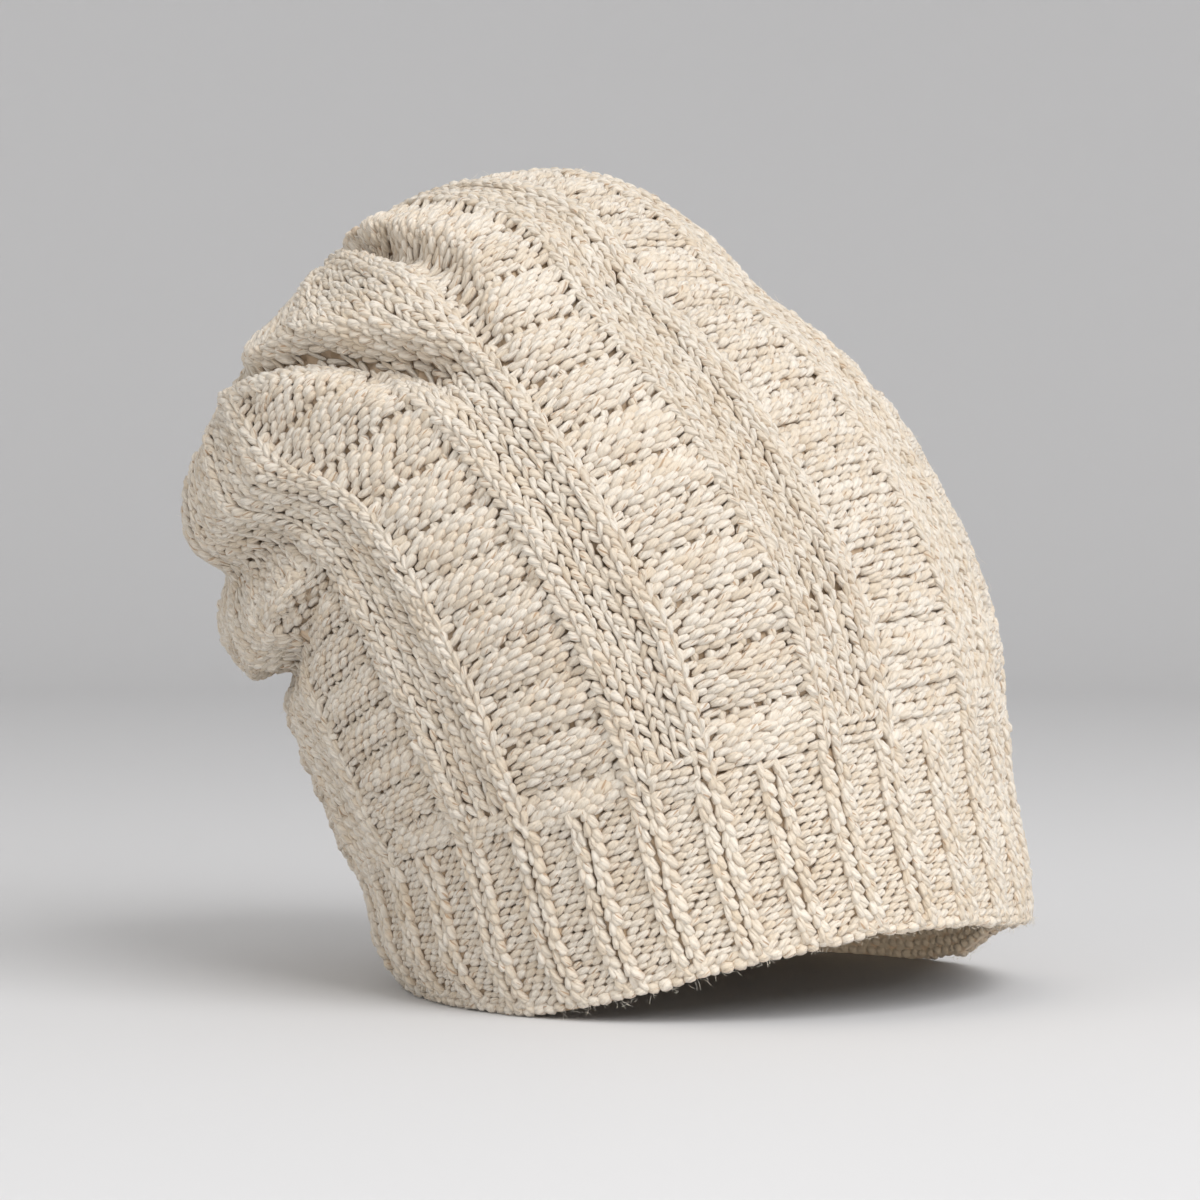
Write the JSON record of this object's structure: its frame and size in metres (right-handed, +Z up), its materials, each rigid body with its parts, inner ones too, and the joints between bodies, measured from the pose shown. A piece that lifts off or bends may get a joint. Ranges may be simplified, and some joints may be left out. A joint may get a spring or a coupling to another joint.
{
  "type": "slouchy rib-brimmed knitted beanie",
  "caption": "Slouchy cream knitted beanie with a ribbed brim, raised stocking-stitch bands, welted panels and a folded-over crown, resting on its rim.",
  "frame": {"origin": "middle of the hat's bounding box, on the surface that the rim rests on", "axes": "+Z up, +X towards the front of the brim, where the rim arches up, -Y towards the picture's viewer"},
  "size_m": [0.2447, 0.1973, 0.2349],
  "materials": {
    "cream_yarn": "matt, softly twisted cream wool-blend yarn with beige flecks"
  },
  "bodies": {
    "root": {"brim": "cream_yarn", "crown": "cream_yarn"}
  },
  "joints": []
}
